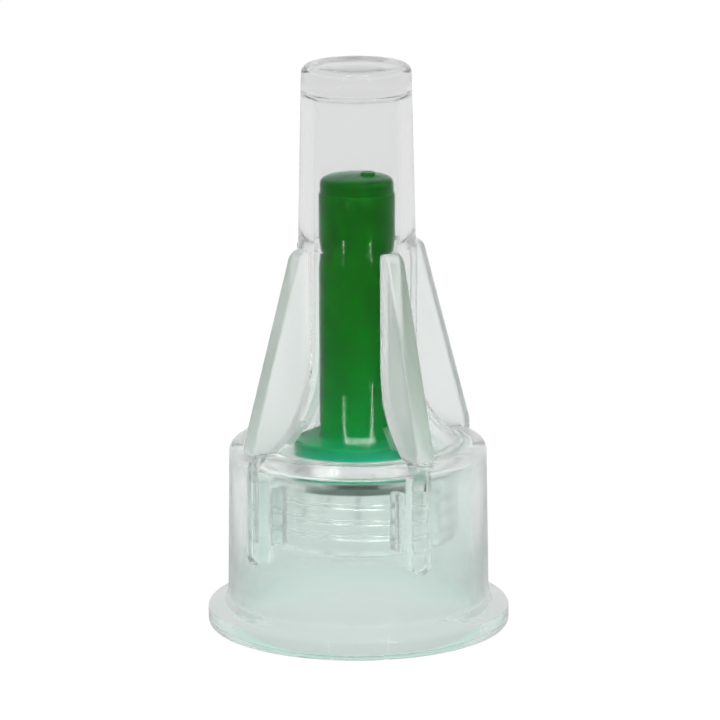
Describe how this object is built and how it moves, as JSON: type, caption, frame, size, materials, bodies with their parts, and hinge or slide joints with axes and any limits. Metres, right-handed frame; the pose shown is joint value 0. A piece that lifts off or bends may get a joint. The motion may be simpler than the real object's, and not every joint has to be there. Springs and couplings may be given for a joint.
{
  "type": "pen needle",
  "caption": "Disposable pen needle: threaded hub with a double-ended steel tube, wide-footed inner shield and finned translucent outer cover that pull off one after the other.",
  "frame": {"origin": "centre of the underside of the cover's flange, on which the part stands", "axes": "+Z along the needle towards the cover's closed end; +X through one of the cover's fins"},
  "size_m": [0.017, 0.017, 0.032],
  "materials": {
    "cover_plastic": "clear, faintly green moulded polypropylene",
    "shield_plastic": "saturated green moulded plastic",
    "hub_plastic": "translucent moulded polypropylene",
    "needle_steel": "drawn stainless tube, ground points",
    "glue": "clear cured adhesive"
  },
  "bodies": {
    "needle_unit": {"needle_hub": "hub_plastic", "cannula": "needle_steel", "glue_bead": "glue"},
    "shield": {"inner_shield": "shield_plastic"},
    "cover": {"outer_cover": "cover_plastic"}
  },
  "joints": [
    {"name": "shield_pull", "type": "slide", "parent": "needle_unit", "child": "shield", "axis": [0, 0, 1], "range_m": [0, 0.014]},
    {"name": "cover_pull", "type": "slide", "parent": "shield", "child": "cover", "axis": [0, 0, 1], "range_m": [0, 0.0265]}
  ]
}
